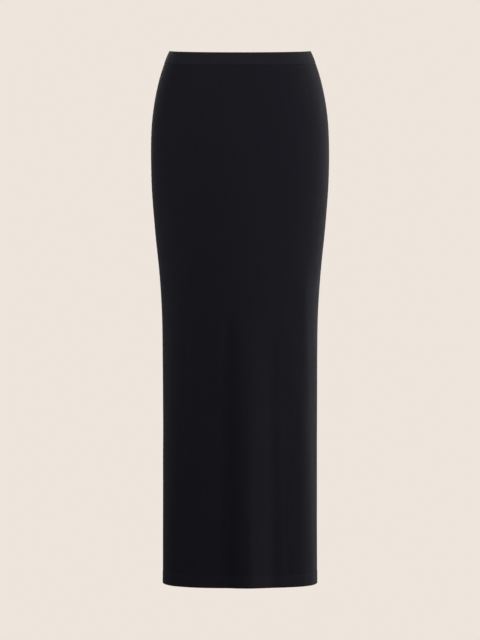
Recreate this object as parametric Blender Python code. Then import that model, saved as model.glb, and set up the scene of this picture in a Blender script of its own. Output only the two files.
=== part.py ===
"""Column maxi skirt in plain black jersey, filled out as if worn.

Two panels, front and back, are joined down the side seams and hang from a soft elastic
waistband. The hem of each panel is turned up once inside. The skirt is a hollow tube, open at
the waist and at the hem. Its origin is the middle of the waist opening, level with the top of
the side seams. The front faces -Y, +X is the right-hand side as seen from the front, +Z is up.
"""

import math

import bmesh
import bpy

MM = 0.001

# Driving dimensions, in metres.
LENGTH = 0.9780
BAND_HEIGHT = 0.0240
BAND_THICKNESS = 0.0030
BAND_PROUD = 0.0004
BAND_EDGE_ROUND = 0.0010
CLOTH_THICKNESS = 0.0012
HEM_TURN = 0.0220
HEM_STEP = 0.0015
SEAM_GAP = 0.0003
# The waist edge drops towards the front, and stays level round the back.
FRONT_DROP = 0.0142
DROP_SOFTNESS = 0.12
# How far a fold draws the hem up, as a share of the fold's depth.
HEM_DRAW = 0.08

# How finely the cloth is divided.
PANEL_COLUMNS = 52
PANEL_ROWS = 28
BAND_SEGMENTS = 64
BAND_ROWS = 2

# The skirt's sections, in millimetres: how far below the waist each lies, half its width, its
# depth from the side seams to the front and to the back, and how square it is. 2 is an ellipse,
# and more than 2 fills its corners.
SECTIONS = (
    # below, half width, front, back, squareness
    (0, 130.0, 98.0, 98, 2.0),
    (25, 140.0, 101.0, 101, 2.0),
    (54, 149.0, 104.0, 106, 2.0),
    (91, 157.0, 107.0, 114, 2.0),
    (128, 162.0, 108.0, 121, 2.0),
    (165, 164.0, 109.0, 126, 2.0),
    (205, 164.2, 109.0, 127, 2.0),
    (257, 162.5, 108.0, 123, 2.0),
    (331, 156.5, 106.0, 115, 2.04),
    (404, 149.0, 104.0, 108, 2.12),
    (478, 144.2, 102.5, 104, 2.16),
    (552, 142.6, 101.5, 102, 2.2),
    (680, 141.9, 101.0, 101, 2.28),
    (980, 142.1, 102.0, 101, 2.5),
)

# The largest folds. They hang from below the hips to the hem. Each is placed in degrees round
# from the middle of the front or back, positive towards +X, at its top and at the hem. It starts
# some way below the waist, is full further down, and rises (+) or sinks (-) by its depth, all in
# millimetres.
FOLDS = (
    # face, top place, hem place, start, full, depth, half width
    ("front", 7, 5, 440, 590, 7.0, 21),
    ("front", 8, 7, 600, 900, 4.0, 18),
    ("front", -13, -15, 480, 760, -4.0, 24),
    ("front", -7, -9.5, 450, 550, -5.0, 9),
    ("front", 23, 25, 450, 620, -7.0, 17),
    ("front", 33, 35, 470, 620, -3.0, 12),
    ("front", 46, 48, 560, 700, 2.5, 12),
    ("back", -3, -2, 430, 780, -6.0, 24),
    ("back", 14, 17, 470, 740, 5.0, 22),
    ("back", -21, -23, 450, 700, 4.5, 23),
    ("back", 34, 36, 500, 800, -4.0, 20),
    ("back", -40, -39, 490, 760, -3.0, 19),
    # the corners where the front and back turn to the sides
    ("front", -60, -50, 450, 560, 2.0, 20),
    ("front", 46, 57, 370, 450, 3.0, 18),
    ("back", 58, 58, 480, 700, 2.0, 16),
    ("back", -60, -58, 520, 760, 2.0, 15),
)

BLACK_JERSEY = (0.0105, 0.0100, 0.0130, 1.0)
BLACK_RIB = (0.0130, 0.0125, 0.0160, 1.0)


def section_at(below):
    """Half width, front depth, back depth and squareness at a distance below the waist.

    Distances are in millimetres. A smooth curve runs through the rows of SECTIONS: its slope
    at a row is the slope from the row before to the row after.
    """
    below = min(max(below, SECTIONS[0][0]), SECTIONS[-1][0])
    upper = max(i for i in range(len(SECTIONS) - 1) if SECTIONS[i][0] <= below)
    lower = upper + 1
    span = SECTIONS[lower][0] - SECTIONS[upper][0]
    part = (below - SECTIONS[upper][0]) / span

    def slope(index, column):
        before = SECTIONS[max(index - 1, 0)]
        after = SECTIONS[min(index + 1, len(SECTIONS) - 1)]
        return (after[column] - before[column]) / (after[0] - before[0])

    return [
        SECTIONS[upper][column] * (2 * part**3 - 3 * part**2 + 1)
        + SECTIONS[lower][column] * (3 * part**2 - 2 * part**3)
        + slope(upper, column) * span * (part**3 - 2 * part**2 + part)
        + slope(lower, column) * span * (part**3 - part**2)
        for column in (1, 2, 3, 4)
    ]


def ease(value, start, end):
    """0 before the start, 1 after the end, and a soft S between them."""
    part = min(max((value - start) / (end - start), 0), 1)
    return part * part * (3 - 2 * part)


def fold_depth(angle, down, radius):
    """How far the folds push the cloth out, in millimetres, down millimetres below the waist."""
    pushed = 0
    for face, top_place, hem_place, start, full, rise, spread in FOLDS:
        place = top_place + (hem_place - top_place) * down * MM / LENGTH
        fold_angle = math.radians(place - 90 if face == "front" else 90 - place)
        apart = (angle - fold_angle + math.pi) % (2 * math.pi) - math.pi
        grown = ease(down, start, full)
        pushed += rise * grown * math.exp(-((apart * radius / spread) ** 2))
    return pushed


def waist_drop(angle):
    """How far the waist edge lies below the tops of the side seams: a soft bend at each seam."""

    def bend(forward):
        return max(math.hypot(forward, DROP_SOFTNESS) + forward - DROP_SOFTNESS, 0)

    return FRONT_DROP * bend(-math.sin(angle)) / bend(1)


def on_skirt(angle, below, proud=0):
    """The point of the skirt's outer face at an angle from +X (the front is at -90 degrees)."""
    drop = waist_drop(angle) * (1 - below / LENGTH)
    half_width, front, back, square = section_at((below + drop) / MM)
    across, forward = math.cos(angle), math.sin(angle)
    depth = front if forward < 0 else back
    # A squared ellipse: the corner factor moves its points out, and out_x, out_y face outwards.
    corner = (abs(across) ** square + abs(forward) ** square) ** (-1 / square)
    out_x = math.copysign(abs(across) ** (square - 1), across) * depth
    out_y = math.copysign(abs(forward) ** (square - 1), forward) * half_width
    radius = corner * math.hypot(half_width * forward, depth * across)
    folds = fold_depth(angle, below / MM, radius)
    out = (folds + proud / MM) / math.hypot(out_x, out_y)
    # A fold that stands out draws the hem up a little, and one that sinks lets it down.
    drawn_up = HEM_DRAW * folds * (below / LENGTH) ** 2
    return (
        (half_width * across * corner + out * out_x) * MM,
        (depth * forward * corner + out * out_y) * MM,
        -below - drop + drawn_up * MM,
    )


def jersey(name, colour):
    """Knitted jersey: black, matt and never metallic."""
    material = bpy.data.materials.new(name)
    material.use_nodes = True
    shader = material.node_tree.nodes["Principled BSDF"]
    shader.inputs["Base Color"].default_value = colour
    shader.inputs["Roughness"].default_value = 0.85
    shader.inputs["Metallic"].default_value = 0.0
    return material


def face_outwards(bm):
    """Turns every face of an open sheet away from the middle of the skirt."""
    bmesh.ops.recalc_face_normals(bm, faces=bm.faces)
    first = next(iter(bm.faces))
    middle = first.calc_center_median()
    if first.normal.x * middle.x + first.normal.y * middle.y < 0:
        bmesh.ops.reverse_faces(bm, faces=bm.faces)


def finish_cloth(name, bm, material, thickness):
    """Turns the drawn sheet into a named object with a wall of cloth behind its face."""
    face_outwards(bm)
    mesh = bpy.data.meshes.new(name)
    bm.to_mesh(mesh)
    bm.free()
    mesh.materials.append(material)
    mesh.shade_smooth()
    mesh.set_sharp_from_angle(angle=math.radians(50))
    cloth = bpy.data.objects.new(name, mesh)
    bpy.context.scene.collection.objects.link(cloth)
    wall = cloth.modifiers.new("wall", "SOLIDIFY")
    wall.thickness = thickness
    wall.offset = -1
    return cloth


def panel_levels():
    """Distances below the waist of a panel's rows. The last rows draw the turned hem."""
    top = BAND_HEIGHT + SEAM_GAP
    turn = LENGTH - HEM_TURN
    span = turn - HEM_STEP - top
    levels = [top + span * row / PANEL_ROWS for row in range(PANEL_ROWS + 1)]
    return levels + [turn, LENGTH]


def panel(name, side):
    """One panel from seam to seam. side is -1 for the front, +1 for the back."""
    levels = panel_levels()
    rows = len(levels) - 1
    bm = bmesh.new()
    bmesh.ops.create_grid(bm, x_segments=PANEL_COLUMNS, y_segments=rows, size=0.5)
    turned = []
    for vert in bm.verts:
        row = round((0.5 - vert.co.y) * rows)
        angle = side * math.pi * (vert.co.x + 0.5)
        if levels[row] >= LENGTH - HEM_TURN:
            turned.append(vert.index)
        vert.co = on_skirt(angle, levels[row])
        vert.co.y += side * SEAM_GAP / 2
    cloth = finish_cloth(name, bm, jersey(name + "_jersey", BLACK_JERSEY), 2 * CLOTH_THICKNESS)
    layers = cloth.vertex_groups.new(name="layers")
    layers.add(range(len(cloth.data.vertices)), 0.5, "REPLACE")
    layers.add(turned, 1.0, "REPLACE")
    cloth.modifiers["wall"].vertex_group = layers.name
    return cloth


def waistband():
    """The elastic casing: a soft ring above the panels, a little proud of them."""
    bm = bmesh.new()
    bmesh.ops.create_cone(
        bm, cap_ends=False, segments=BAND_SEGMENTS, radius1=1, radius2=1, depth=1
    )
    upright = [edge for edge in bm.edges if abs(edge.verts[0].co.z - edge.verts[1].co.z) > 0.5]
    bmesh.ops.subdivide_edges(bm, edges=upright, cuts=BAND_ROWS - 1, use_grid_fill=True)
    for vert in bm.verts:
        angle = math.atan2(vert.co.y, vert.co.x)
        below = BAND_HEIGHT * (0.5 - vert.co.z)
        vert.co = on_skirt(angle, below, BAND_PROUD)
    cloth = finish_cloth("waistband", bm, jersey("waistband_rib", BLACK_RIB), BAND_THICKNESS)
    edges = cloth.modifiers.new("rounded edges", "BEVEL")
    edges.width = BAND_EDGE_ROUND
    edges.segments = 2
    edges.limit_method = "ANGLE"
    edges.angle_limit = math.radians(50)
    return cloth


for obj in list(bpy.data.objects):
    bpy.data.objects.remove(obj, do_unlink=True)

waistband()
panel("front_panel", -1)
panel("back_panel", 1)
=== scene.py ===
import bisect
import math

import bmesh
import bpy
import numpy as np
from mathutils import Matrix, Vector, noise


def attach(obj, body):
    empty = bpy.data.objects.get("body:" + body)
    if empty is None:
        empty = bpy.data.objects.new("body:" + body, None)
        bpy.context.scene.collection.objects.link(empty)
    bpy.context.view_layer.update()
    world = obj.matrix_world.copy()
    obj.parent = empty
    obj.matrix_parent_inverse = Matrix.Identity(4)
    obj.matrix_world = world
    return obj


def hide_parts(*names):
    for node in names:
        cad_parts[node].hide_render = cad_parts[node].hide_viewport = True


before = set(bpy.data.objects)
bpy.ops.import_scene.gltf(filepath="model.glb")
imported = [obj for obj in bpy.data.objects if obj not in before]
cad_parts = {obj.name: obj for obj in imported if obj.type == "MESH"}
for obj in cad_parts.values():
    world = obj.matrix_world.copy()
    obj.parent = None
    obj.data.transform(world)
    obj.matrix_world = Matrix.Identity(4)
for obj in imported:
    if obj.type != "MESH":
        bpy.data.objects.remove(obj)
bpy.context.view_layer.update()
bpy.ops.object.select_all(action="DESELECT")

# FRONT AND BACK PANELS
# Two lengths of black single jersey, cut with a hip curve and then straight to the hem, and
# sewn together down the sides. They hang in soft folds from below the hips, and each has its
# lower edge turned up once inside and stitched.
MM = 0.001
LENGTH = 978 * MM
BAND_HEIGHT = 24 * MM
CLOTH = 1.2 * MM
HEM_TURN = 22 * MM
FRONT_DROP = 14.2 * MM
DROP_SOFTNESS = 0.12
HEM_DRAW = 0.08

# The skirt's sections: how far below the waist each lies, half its width, its depth from the
# side seams to the front and to the back, all in millimetres, and how square it is. 2 is an
# ellipse, and more than 2 fills its corners.
SECTIONS = (
    # below, half width, front, back, squareness
    (0, 130.0, 98, 98, 2.0),
    (25, 140.0, 101, 101, 2.0),
    (54, 149.0, 104, 106, 2.0),
    (91, 157.0, 107, 114, 2.0),
    (128, 162.0, 108, 121, 2.0),
    (165, 164.0, 109, 126, 2.0),
    (205, 164.2, 109, 127, 2.0),
    (257, 162.5, 108, 123, 2.0),
    (331, 156.5, 106.0, 115, 2.04),
    (404, 149.0, 104.0, 108, 2.12),
    (478, 144.2, 102.5, 104, 2.16),
    (552, 142.6, 101.5, 102, 2.2),
    (680, 141.9, 101.0, 101, 2.28),
    (980, 142.1, 102.0, 101, 2.5),
)

# The folds. Each is placed in degrees round from the middle of the front or back, positive
# towards +X, at its top and at the hem. It starts some way below the waist, is full further
# down, and rises (+) or sinks (-) by its depth, all in millimetres.
FOLDS = (
    # face, top place, hem place, start, full, depth, half width
    # the main folds
    ("front", 7, 5, 440, 590, 7.0, 21),
    ("front", 8, 7, 600, 900, 4.0, 18),
    ("front", -13, -15, 480, 760, -4.0, 24),
    ("front", -7, -9.5, 450, 550, -5.0, 9),
    ("front", 1, -0.5, 450, 560, 2.0, 8),
    ("front", 23, 25, 450, 620, -7.0, 17),
    ("front", 33, 35, 470, 620, -3.0, 12),
    ("front", 46, 48, 560, 700, 2.5, 12),
    ("front", -34, -33, 520, 820, 1.4, 19),
    ("back", -3, -2, 430, 780, -6.0, 24),
    ("back", 14, 17, 470, 740, 5.0, 22),
    ("back", -21, -23, 450, 700, 4.5, 23),
    ("back", 34, 36, 500, 800, -4.0, 20),
    ("back", -40, -39, 490, 760, -3.0, 19),
    # the corners where the front and back turn to the sides
    ("front", -60, -50, 450, 560, 2.0, 20),
    ("front", 46, 57, 370, 450, 3.0, 18),
    ("back", 58, 58, 480, 700, 2.0, 16),
    ("back", -60, -58, 520, 760, 2.0, 15),
    # fine creases
    ("front", -42, -43, 490, 560, -0.6, 7),
    ("front", -42, -43, 640, 760, 0.5, 7),
    ("front", -26.5, -27, 490, 560, -0.6, 7),
    ("front", -26.5, -27, 640, 780, 0.5, 7),
    ("back", 6, 7, 480, 600, -0.6, 6),
    ("back", -31, -33, 500, 620, -0.5, 7),
    ("back", 26, 27, 540, 660, -0.5, 6),
)


def section_at(below):
    """Half width, front depth, back depth and squareness at a distance below the waist.

    Distances are in millimetres. A smooth curve runs through the rows of SECTIONS: its slope
    at a row is the slope from the row before to the row after.
    """
    below = min(max(below, SECTIONS[0][0]), SECTIONS[-1][0])
    lower = max(bisect.bisect_left(SECTIONS, (below,)), 1)
    upper = lower - 1
    span = SECTIONS[lower][0] - SECTIONS[upper][0]
    part = (below - SECTIONS[upper][0]) / span

    def slope(index, column):
        before = SECTIONS[max(index - 1, 0)]
        after = SECTIONS[min(index + 1, len(SECTIONS) - 1)]
        return (after[column] - before[column]) / (after[0] - before[0])

    return [
        SECTIONS[upper][column] * (2 * part**3 - 3 * part**2 + 1)
        + SECTIONS[lower][column] * (3 * part**2 - 2 * part**3)
        + slope(upper, column) * span * (part**3 - 2 * part**2 + part)
        + slope(lower, column) * span * (part**3 - part**2)
        for column in (1, 2, 3, 4)
    ]


def ease(value, start, end):
    """0 before the start, 1 after the end, and a soft S between them."""
    part = min(max((value - start) / (end - start), 0), 1)
    return part * part * (3 - 2 * part)


def bump(distance, spread):
    """A soft hump: 1 in its middle, and near 0 at twice its spread."""
    return math.exp(-((distance / spread) ** 2))


def folds_at(angle, down, radius):
    """How far the folds push the cloth out, in millimetres, down millimetres below the waist."""
    pushed = 0
    for face, top_place, hem_place, start, full, rise, spread in FOLDS:
        grown = ease(down, start, full)
        if not grown:
            continue
        place = top_place + (hem_place - top_place) * down * MM / LENGTH
        fold_angle = math.radians(place - 90 if face == "front" else 90 - place)
        apart = (angle - fold_angle + math.pi) % (2 * math.pi) - math.pi
        pushed += rise * grown * bump(apart * radius, spread)
    return pushed


def waist_drop(angle):
    """How far the waist edge lies below the tops of the side seams: a soft bend at each seam."""

    def bend(forward):
        return max(math.hypot(forward, DROP_SOFTNESS) + forward - DROP_SOFTNESS, 0)

    return FRONT_DROP * bend(-math.sin(angle)) / bend(1)


def on_skirt(angle, below, proud=0):
    """The point of the skirt's face at an angle from +X, where the front is at -90 degrees."""
    drop = waist_drop(angle) * (1 - below / LENGTH)
    half_width, front, back, square = section_at((below + drop) / MM)
    across, forward = math.cos(angle), math.sin(angle)
    depth = front if forward < 0 else back
    corner = (abs(across) ** square + abs(forward) ** square) ** (-1 / square)
    out_x = math.copysign(abs(across) ** (square - 1), across) * depth
    out_y = math.copysign(abs(forward) ** (square - 1), forward) * half_width
    radius = corner * math.hypot(half_width * forward, depth * across)
    folds = folds_at(angle, below / MM, radius)
    out = (folds + proud / MM) / math.hypot(out_x, out_y)
    # A fold that stands out draws the hem up a little, and one that sinks lets it down.
    drawn_up = HEM_DRAW * folds * (below / LENGTH) ** 2
    return Vector((
        (half_width * across * corner + out * out_x) * MM,
        (depth * forward * corner + out * out_y) * MM,
        -below - drop + drawn_up * MM,
    ))


# The row of hem stitches lies just below the raw edge of the turning, in a shallow groove.
STITCH_LINE = HEM_TURN - 1 * MM
STITCH_SINK = 0.35 * MM
STITCH_REACH = 0.9 * MM
# The doubled hem stands this far out, and rises to it over a short slope.
HEM_PROUD = 0.35 * MM
HEM_SLOPE = (HEM_TURN - 1 * MM, HEM_TURN + 2 * MM)
# The side seams, and the seam under the band, sink into the cloth. The seam radius turns an
# angle from a side seam into a distance.
SEAM_RADIUS = 104 * MM
SEAM_REACH = 1.6 * MM
SEAM_SINK = 0.9 * MM
BAND_SEAM_SINK = 0.15 * MM
PUCKER_DEPTH = 0.12 * MM
PUCKER_REACH = 9 * MM
PUCKER_PITCH = 11 * MM
# Soft and fine unevenness of the cloth: the radius of its ring in noise cells, cells per metre
# down the skirt, and depth in millimetres. It grows from the waist to the hem.
SOFT_UNEVEN = (3.1, 7, 0.50)
FINE_UNEVEN = (9, 16, 0.16)


def jersey_relief(angle, below):
    """Small unevenness of the sewn cloth: seams that sink, puckers beside them, and the hem."""
    above_hem = LENGTH - below
    under_band = below - BAND_HEIGHT
    from_seam = abs(math.asin(math.sin(angle))) * SEAM_RADIUS
    around, down, soft_depth = SOFT_UNEVEN
    soft = noise.noise(Vector((math.cos(angle) * around, math.sin(angle) * around, below * down)))
    around, down, fine_depth = FINE_UNEVEN
    place = Vector((math.cos(angle) * around, math.sin(angle) * around, below * down + 5))
    fine = noise.noise(place)
    # The puckers are unevenly spaced, so their phase wanders.
    wave = math.sin(2 * math.pi * below / PUCKER_PITCH + 4 * math.sin(below * 23))
    relief = (soft_depth * soft + fine_depth * fine) * (0.5 + 0.7 * below / LENGTH) * MM
    relief += PUCKER_DEPTH * wave * bump(from_seam, PUCKER_REACH)
    relief -= SEAM_SINK * bump(from_seam, SEAM_REACH)
    relief -= BAND_SEAM_SINK * bump(under_band, SEAM_REACH)
    relief += HEM_PROUD * (1 - ease(above_hem, *HEM_SLOPE))
    relief -= STITCH_SINK * bump(above_hem - STITCH_LINE, STITCH_REACH)
    return relief


def steps(*stretches):
    """Distances down the cloth from stretches of (start, end, step), without repeats."""
    values = {stretches[-1][1]}
    for start, end, step in stretches:
        count = max(round((end - start) / step), 1)
        values |= {start + (end - start) * i / count for i in range(count)}
    return sorted(values)


def sheet_of(name, columns, levels, place):
    """A grid of cloth, wrapped by place(across, level), with its cut laid out in its UV map."""
    rows = len(levels) - 1
    bpy.ops.mesh.primitive_grid_add(x_subdivisions=columns, y_subdivisions=rows, size=1)
    cloth = bpy.context.object
    cloth.name = cloth.data.name = name
    grid = np.zeros((rows + 1, columns + 1), int)
    for vertex in cloth.data.vertices:
        column = round((vertex.co.x + 0.5) * columns)
        row = round((0.5 - vertex.co.y) * rows)
        grid[row, column] = vertex.index
        vertex.co = place(column / columns, levels[row])
    points = np.array([vertex.co for vertex in cloth.data.vertices])
    across = np.linalg.norm(np.diff(points[grid], axis=1), axis=2).cumsum(axis=1)
    across = np.hstack([np.zeros((rows + 1, 1)), across])
    across -= across[:, columns // 2, None]
    cut = np.zeros((len(points), 2))
    cut[grid, 0] = across
    cut[grid, 1] = -np.array(levels)[:, None]
    layer = cloth.data.uv_layers.active
    layer.name = "cut"
    for loop in cloth.data.loops:
        layer.data[loop.index].uv = cut[loop.vertex_index]
    return cloth


def face_away(cloth):
    """Turns a sheet's faces away from the middle of the skirt."""
    first = cloth.data.polygons[0]
    outward = Vector((first.center.x, first.center.y, 0))
    if first.normal.dot(outward) < 0:
        cloth.data.flip_normals()


# Edges that turn by more than this, in degrees, are cut or folded edges and stay crisp.
CRISP_ANGLE = 60


def apply_all(cloth):
    """Applies the modifiers in order, and shades the cloth smooth but for its cut edges."""
    bpy.ops.object.select_all(action="DESELECT")
    cloth.select_set(True)
    bpy.context.view_layer.objects.active = cloth
    for modifier in list(cloth.modifiers):
        bpy.ops.object.modifier_apply(modifier=modifier.name)
    bpy.ops.object.shade_smooth_by_angle(angle=math.radians(CRISP_ANGLE))
    cloth.select_set(False)


def linear(code):
    """An sRGB hex colour as linear numbers."""
    parts = [int(code[i : i + 2], 16) / 255 for i in (0, 2, 4)]
    return [c / 12.92 if c <= 0.04045 else ((c + 0.055) / 1.055) ** 2.4 for c in parts] + [1]


def add_node(tree, kind, settings, inputs):
    """Adds a node with its settings, and sets or links each of its inputs."""
    made = tree.nodes.new(kind)
    for name, value in settings.items():
        setattr(made, name, value)
    for key, value in inputs.items():
        if isinstance(value, bpy.types.NodeSocket):
            tree.links.new(value, made.inputs[key])
        else:
            made.inputs[key].default_value = value
    return made


# Black viscose jersey, knitted fine on a circular machine and piece-dyed: matt, faintly soft
# at its edges, with thin upright wales. The real wales are 0.7 mm wide and the courses 0.55 mm
# high, too fine to show here, so both are drawn about three times as coarse.
WALE = 2.2 * MM
COURSE = 1.8 * MM
# Streaks of uneven yarn are about 4 mm wide and 70 mm long, and clouds of handling 26 mm across.
STREAKS_PER_METRE = (260, 14, 1)
CLOUDS_PER_METRE = 38
# How much each shifts the tone from the ground colour towards the lighter black. The loop shift is a
# painted highlight on the loop tips with painted shade between them, and the hem shift is a painted
# highlight along the hem.
STREAK_TONE = 0.5
LOOP_PAINTED_LIGHT = 0.25
CLOUD_TONE = 0.35
HEM_PAINTED_HIGHLIGHT = 0.30
KNIT_DEPTH = 0.25 * MM


def knitted_jersey(name, ground, yarn_and_highlight_black, stretch=1.0):
    """Black single jersey. The stretch spreads its wales, and its tone lies between two blacks:
    lighter at uneven yarn and handling, and at the painted highlights on loop tips and hem.
    """
    material = bpy.data.materials.new(name)
    material.use_nodes = True
    tree = material.node_tree
    shader = tree.nodes["Principled BSDF"]

    def maths(operation, first, second=0.0, third=0.0):
        inputs = {0: first, 1: second, 2: third}
        return add_node(tree, "ShaderNodeMath", {"operation": operation}, inputs).outputs[0]

    cut = add_node(tree, "ShaderNodeUVMap", {"uv_map": "cut"}, {}).outputs["UV"]
    sides = add_node(tree, "ShaderNodeSeparateXYZ", {}, {0: cut})
    wales = maths("MULTIPLY", sides.outputs[0], 1 / (WALE * stretch))
    courses = maths("MULTIPLY", sides.outputs[1], 1 / COURSE)
    # Each wale is a column of V loops: it is high in its middle, and its courses rise to it.
    middle = maths("MULTIPLY", maths("PINGPONG", wales, 0.5), 2)
    rib = maths("SINE", maths("MULTIPLY", middle, math.pi / 2))
    phase = maths("ADD", courses, maths("MULTIPLY", middle, 0.5))
    loops = maths("SINE", maths("MULTIPLY", phase, 2 * math.pi))
    relief = maths("MULTIPLY_ADD", loops, 0.25, maths("MULTIPLY", rib, 0.75))
    # Uneven yarn gives faint streaks along the wales, and handling leaves softer clouds.
    stretched = add_node(tree, "ShaderNodeMapping", {}, {0: cut, "Scale": STREAKS_PER_METRE})
    streaks = add_node(
        tree, "ShaderNodeTexNoise", {"noise_dimensions": "2D"},
        {"Vector": stretched.outputs[0], "Scale": 1, "Detail": 2, "Roughness": 0.6},
    )
    clouds = add_node(
        tree, "ShaderNodeTexNoise", {"noise_dimensions": "2D"},
        {"Vector": cut, "Scale": CLOUDS_PER_METRE, "Detail": 3, "Roughness": 0.55},
    )
    # The loop tops are painted lighter and the grooves between them darker: painted highlight and
    # painted shade in the knit.
    tone = maths("MULTIPLY", relief, LOOP_PAINTED_LIGHT)
    tone = maths("MULTIPLY_ADD", streaks.outputs[0], STREAK_TONE, tone)
    tone = maths("MULTIPLY_ADD", clouds.outputs[0], CLOUD_TONE, tone)
    # The band of the turned hem is painted lighter: a painted highlight along the hem.
    painted_hem_highlight = maths("LESS_THAN", sides.outputs[1], HEM_TURN - LENGTH)
    tone = maths("MULTIPLY_ADD", painted_hem_highlight, HEM_PAINTED_HIGHLIGHT, tone)
    colour = add_node(
        tree, "ShaderNodeMix", {"data_type": "RGBA"},
        {0: tone, 6: linear(ground), 7: linear(yarn_and_highlight_black)},
    )
    tree.links.new(colour.outputs[2], shader.inputs["Base Color"])
    # Roughness lies between 0.74 and 0.90, as handling raises the fibres more in some places.
    dull = maths("MULTIPLY_ADD", clouds.outputs[0], 0.16, 0.74)
    tree.links.new(dull, shader.inputs["Roughness"])
    knit = add_node(
        tree, "ShaderNodeBump", {},
        {"Strength": 0.35, "Distance": KNIT_DEPTH, "Height": relief},
    )
    tree.links.new(knit.outputs[0], shader.inputs["Normal"])
    shader.inputs["IOR"].default_value = 1.47
    shader.inputs["Specular IOR Level"].default_value = 0.07
    shader.inputs["Sheen Weight"].default_value = 0.03
    shader.inputs["Sheen Roughness"].default_value = 0.35
    shader.inputs["Sheen Tint"].default_value = linear("C9C6D6")
    return material


body_jersey = knitted_jersey("viscose_jersey_knitted_black", "16151B", "1D1C23")

# The tops of the panels reach this far up into the lower fold of the waistband.
TUCK = 0.3 * MM
PANEL_COLUMNS = 150
# The columns crowd towards the side seams, and the rows towards the band and the stitches.
SEAM_CROWDING = 0.6
RAW_EDGE = LENGTH - HEM_TURN
PANEL_LEVELS = steps(
    (BAND_HEIGHT - TUCK, BAND_HEIGHT + 5 * MM, 0.8 * MM),
    (BAND_HEIGHT + 5 * MM, RAW_EDGE - 4 * MM, 5.7 * MM),
    (RAW_EDGE - 4 * MM, RAW_EDGE - 1 * MM, 1 * MM),
    (RAW_EDGE - 1 * MM, RAW_EDGE + 1.5 * MM, 0.5 * MM),
    (RAW_EDGE + 1.5 * MM, RAW_EDGE + 3 * MM, 0.6 * MM),
    (RAW_EDGE + 3 * MM, LENGTH, 2 * MM),
)
# Rows and edge points are told apart with this much slack.
LEVEL_SLACK = 0.2 * MM
ON_SEAM = 0.01 * MM
CLOTH_EDGE_ROUND = 0.35 * MM
CLOTH_EDGE_STEPS = 2


def panel(name, side):
    """One panel from seam to seam, with a wall of cloth, doubled at the turned hem."""

    def place(across, level):
        crowded = across - SEAM_CROWDING * math.sin(2 * math.pi * across) / (2 * math.pi)
        angle = side * math.pi * crowded
        return on_skirt(angle, level, jersey_relief(angle, level))

    cloth = sheet_of(name, PANEL_COLUMNS, PANEL_LEVELS, place)
    face_away(cloth)
    layers = cloth.vertex_groups.new(name="layers")
    layers.add(range(len(cloth.data.vertices)), 0.5, "REPLACE")
    cut = cloth.data.uv_layers["cut"].data
    top_of_turn = HEM_TURN - LENGTH + LEVEL_SLACK
    turned = {loop.vertex_index for loop in cloth.data.loops if cut[loop.index].uv.y < top_of_turn}
    layers.add(list(turned), 1.0, "REPLACE")
    seam_edge = cloth.vertex_groups.new(name="seam edge").index
    on_edge = [vertex.index for vertex in cloth.data.vertices if abs(vertex.co.y) < ON_SEAM]
    cloth.vertex_groups[seam_edge].add(on_edge, 1.0, "REPLACE")
    wall = cloth.modifiers.new("wall", "SOLIDIFY")
    wall.thickness = 2 * CLOTH
    wall.offset = -1
    wall.vertex_group = layers.name
    apply_all(cloth)
    # The two panels meet flat in each side seam.
    for vertex in cloth.data.vertices:
        if seam_edge in [group.group for group in vertex.groups]:
            vertex.co.y = 0
    rounded = cloth.modifiers.new("soft edges", "BEVEL")
    rounded.width = CLOTH_EDGE_ROUND
    rounded.segments = CLOTH_EDGE_STEPS
    rounded.limit_method = "ANGLE"
    rounded.angle_limit = math.radians(CRISP_ANGLE)
    apply_all(cloth)
    cloth.data.materials.append(body_jersey)
    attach(cloth, "root")
    return cloth


front = panel("front_cloth", -1)
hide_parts("front_panel")
back = panel("back_cloth", 1)
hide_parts("back_panel")

# HEM STITCHING
# One row of black polyester thread, which holds the turned hem just below its raw edge. Each
# visible stitch is a short float that dips into the cloth at both ends.
STITCH_LENGTH = 3.2 * MM
STITCH_FLOAT = 2.6 * MM
# Real thread is 0.3 mm thick. It is drawn at 0.5 mm so that the row shows.
THREAD = 0.5 * MM
THREAD_SIDES = 6
# Towards its ends a stitch thins by a share of its thickness, and dips into the cloth.
END_THINNING = 0.45
END_DIP = 0.3 * MM
THREAD_PROUD = THREAD * 0.25
HEM_SAMPLES = 4000


def thread_stitch():
    """One float of thread along X: a low arch, thick in its middle."""
    bpy.ops.mesh.primitive_cylinder_add(
        vertices=THREAD_SIDES, radius=THREAD / 2, depth=STITCH_FLOAT, rotation=(0, math.pi / 2, 0)
    )
    stitch = bpy.context.object
    bpy.ops.object.transform_apply(location=True, rotation=True, scale=True)
    bpy.ops.object.mode_set(mode="EDIT")
    bpy.ops.mesh.select_all(action="SELECT")
    bpy.ops.mesh.bisect(plane_co=(-STITCH_FLOAT / 4, 0, 0), plane_no=(1, 0, 0))
    bpy.ops.mesh.select_all(action="SELECT")
    bpy.ops.mesh.bisect(plane_co=(STITCH_FLOAT / 4, 0, 0), plane_no=(1, 0, 0))
    bpy.ops.object.mode_set(mode="OBJECT")
    for vertex in stitch.data.vertices:
        end = abs(vertex.co.x) / (STITCH_FLOAT / 2)
        vertex.co.y *= 1 - END_THINNING * end**3
        vertex.co.z *= 1 - END_THINNING * end**3
        vertex.co.z -= END_DIP * end**3
    return stitch


def sewn_row(name, stitch, places):
    """Copies of a stitch at each place, joined into one object."""
    sewn = bmesh.new()
    for place in places:
        copy = stitch.data.copy()
        copy.transform(place)
        sewn.from_mesh(copy)
        bpy.data.meshes.remove(copy)
    mesh = bpy.data.meshes.new(name)
    sewn.to_mesh(mesh)
    sewn.free()
    row = bpy.data.objects.new(name, mesh)
    bpy.context.scene.collection.objects.link(row)
    return row


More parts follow.
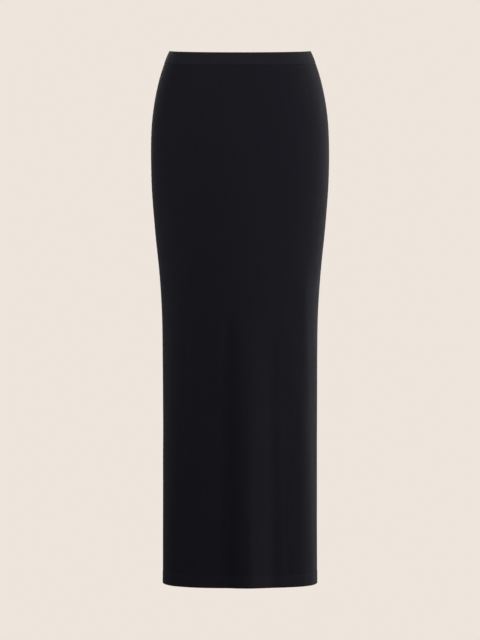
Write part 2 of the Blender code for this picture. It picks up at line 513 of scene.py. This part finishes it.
def polyester_thread():
    """Spun polyester: a little shinier than the jersey, with a fine twist along it."""
    material = bpy.data.materials.new("polyester_thread_spun_black")
    material.use_nodes = True
    tree = material.node_tree
    shader = tree.nodes["Principled BSDF"]
    place = add_node(tree, "ShaderNodeTexCoord", {}, {}).outputs["Object"]
    twist = add_node(
        tree, "ShaderNodeTexNoise", {}, {"Vector": place, "Scale": 2400, "Detail": 1}
    )
    colour = add_node(
        tree, "ShaderNodeMix", {"data_type": "RGBA"},
        {0: twist.outputs[0], 6: linear("18171B"), 7: linear("222127")},
    )
    tree.links.new(colour.outputs[2], shader.inputs["Base Color"])
    shader.inputs["Roughness"].default_value = 0.65
    shader.inputs["Specular IOR Level"].default_value = 0.2
    return material


def along_hem(side):
    """Where each stitch lies on one panel: a frame on the cloth's outer face."""
    below = LENGTH - STITCH_LINE
    hem_line = []
    for i in range(HEM_SAMPLES + 1):
        angle = side * math.pi * i / HEM_SAMPLES
        hem_line.append(on_skirt(angle, below, jersey_relief(angle, below)))
    places = []
    run = 0
    for before, after in zip(hem_line, hem_line[1:]):
        run += (after - before).length
        if run < STITCH_LENGTH:
            continue
        run -= STITCH_LENGTH
        along = (after - before).normalized()
        out = Vector((after.y - before.y, before.x - after.x, 0)).normalized() * side
        up = out.cross(along)
        turn = Matrix((along, up, out)).transposed().to_4x4()
        turn.translation = after + out * THREAD_PROUD
        places.append(turn)
    return places


thread = polyester_thread()
stitch = thread_stitch()
for side, name in ((-1, "hem_stitches_front"), (1, "hem_stitches_back")):
    row = sewn_row(name, stitch, along_hem(side))
    row.data.materials.append(thread)
    row.data.shade_smooth()
    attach(row, "root")
bpy.data.objects.remove(stitch, do_unlink=True)

# WAISTBAND
# A strip of the same jersey folded over a flat 22 mm elastic and closed to a ring. The folds
# at its top and bottom are round, the elastic fills it, and it is sewn to the panels' tops.
BAND_THICKNESS = 3.0 * MM
BAND_PROUD = 0.4 * MM
BAND_SEGMENTS = 900
BAND_CROWN = 0.35 * MM
ROUND_STEPS = 5
FACE_STEPS = 9
# The elastic gathers the strip into short puckers, deepest at its foot, and slow waves. Both
# are in millimetres.
BAND_PUCKER = 0.16
BAND_WAVE = 0.25


def band_outline():
    """(out, below) round the band's section: outer face, lower fold, inner face, upper fold."""
    radius = BAND_THICKNESS / 2
    outline = []
    for start, turn in ((0, -1), (math.pi, 1)):
        for i in range(FACE_STEPS):
            down = radius + (BAND_HEIGHT - 2 * radius) * i / FACE_STEPS
            below = down if turn < 0 else BAND_HEIGHT - down
            crown = BAND_CROWN * math.sin(math.pi * i / FACE_STEPS)
            out = crown if turn < 0 else -BAND_THICKNESS
            outline.append((out, below))
        for i in range(ROUND_STEPS):
            arc = math.pi * i / ROUND_STEPS + (0 if turn < 0 else math.pi)
            middle = BAND_HEIGHT - radius if turn < 0 else radius
            outline.append((-radius + radius * math.cos(arc), middle + radius * math.sin(arc)))
    return outline


def waistband_ring():
    """The folded strip: its rows are placed by their running length round the band's section."""
    outline = band_outline()
    outline.append(outline[0])
    runs = [0]
    for before, after in zip(outline, outline[1:]):
        runs.append(runs[-1] + math.dist(before, after))
    section = dict(zip(runs, outline))

    def place(across, run):
        angle = 2 * math.pi * across
        out, below = section[run]
        round_it = Vector((math.cos(angle), math.sin(angle), 0))
        pucker = noise.noise(Vector((round_it.x * 26, round_it.y * 26, below * 40)))
        slow = noise.noise(Vector((round_it.x * 6, round_it.y * 6, below * 20 + 9)))
        lower = below / BAND_HEIGHT
        out += (BAND_PUCKER * pucker * (0.4 + 0.6 * lower) + BAND_WAVE * slow) * MM
        return on_skirt(angle, below, BAND_PROUD + out)

    band = sheet_of("waistband_cloth", BAND_SEGMENTS, runs, place)
    bpy.ops.object.mode_set(mode="EDIT")
    bpy.ops.mesh.select_all(action="SELECT")
    bpy.ops.mesh.remove_doubles(threshold=0.01 * MM)
    bpy.ops.mesh.normals_make_consistent(inside=False)
    bpy.ops.object.mode_set(mode="OBJECT")
    bpy.ops.object.shade_smooth()
    return band


band = waistband_ring()
# The band's blacks are lighter than the panels': partly its tight knit over the elastic, and partly
# painted light where the band tilts towards the lamps.
band.data.materials.append(knitted_jersey("viscose_jersey_over_elastic", "1B1B20", "25252A", 1.15))
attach(band, "root")
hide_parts("waistband")

# STUDIO
# A plain pale cream floor and backdrop with no edge, soft boxes all round that are strongest
# from the right and behind, and a long lens at half the skirt's height.
CREAM = "EEE5DC"
CAMERA_DISTANCE = 4.0
CAMERA_HEIGHT = -0.4957
# One pixel of the 480 x 640 picture covers this much at the middle of the skirt.
PIXEL = 1.8436 * MM
SENSOR = 36.0
PICTURE_HEIGHT = 640
FLOOR_BELOW_HEM = 0.25
FLOOR_SIZE = 60

camera_data = bpy.data.cameras.new("camera")
camera_data.sensor_width = SENSOR
camera_data.lens = SENSOR * CAMERA_DISTANCE / (PIXEL * PICTURE_HEIGHT)
camera = bpy.data.objects.new("camera", camera_data)
camera.location = (0, -CAMERA_DISTANCE, CAMERA_HEIGHT)
camera.rotation_euler = (math.pi / 2, 0, 0)
bpy.context.scene.collection.objects.link(camera)
bpy.context.scene.camera = camera
bpy.context.scene.view_settings.view_transform = "Standard"

# The room gives the cloth a dim, even light, and shows as plain cream behind it.
ROOM_LIGHT = 0.25
world = bpy.data.worlds.new("cream studio")
world.use_nodes = True
bpy.context.scene.world = world
room = world.node_tree
shown = add_node(room, "ShaderNodeLightPath", {}, {}).outputs["Is Camera Ray"]
behind = add_node(room, "ShaderNodeBackground", {}, {"Color": linear(CREAM), "Strength": 1})
around = add_node(room, "ShaderNodeBackground", {}, {"Color": (1, 1, 1, 1), "Strength": ROOM_LIGHT})
either = add_node(
    room, "ShaderNodeMixShader", {}, {0: shown, 1: around.outputs[0], 2: behind.outputs[0]}
)
room.links.new(either.outputs[0], room.nodes["World Output"].inputs["Surface"])

bpy.ops.mesh.primitive_plane_add(size=FLOOR_SIZE, location=(0, 0, -LENGTH - FLOOR_BELOW_HEM))
floor = bpy.context.object
floor.name = "floor"
floor.visible_diffuse = False
floor.visible_glossy = False
floor.visible_shadow = False
paint = bpy.data.materials.new("cream_floor_paint")
paint.use_nodes = True
paint_shader = paint.node_tree.nodes["Principled BSDF"]
paint_shader.inputs["Base Color"].default_value = (0, 0, 0, 1)
paint_shader.inputs["Specular IOR Level"].default_value = 0
paint_shader.inputs["Emission Color"].default_value = linear(CREAM)
paint_shader.inputs["Emission Strength"].default_value = 1.0
floor.data.materials.append(paint)

# Each light is a square soft box aimed at a height on the skirt. It is turned round from the
# front, positive towards +X, and raised, both in degrees. Its reach and size are in metres.
LIGHTS = (
    # name, turned, raised, aimed at, reach, size, watts
    ("right_front_high", 30, 40, -0.50, 2.6, 1.2, 25),
    ("right_low", 75, -8, -0.75, 1.5, 0.8, 10),
    ("right_rear", 120, 30, -0.50, 2.6, 1.2, 35),
    ("right_rear_low", 140, 5, -0.50, 2.6, 1.2, 20),
    ("left_high", -45, 20, -0.20, 1.5, 0.8, 6),
    ("left_close", -100, 0, -0.45, 0.7, 0.45, 1),
    ("rear_fill", -150, 35, -0.50, 2.6, 1.2, 25),
)
for name, turned, raised, aimed, reach, size, watts in LIGHTS:
    lamp = bpy.data.lights.new(name, "AREA")
    lamp.size = size
    lamp.energy = watts
    box = bpy.data.objects.new(name, lamp)
    turn, lift = math.radians(turned), math.radians(raised)
    away = Vector((math.sin(turn) * math.cos(lift), -math.cos(turn) * math.cos(lift), math.sin(lift)))
    box.location = Vector((0, 0, aimed)) + away * reach
    box.rotation_euler = away.to_track_quat("Z", "Y").to_euler()
    box.visible_camera = False
    bpy.context.scene.collection.objects.link(box)
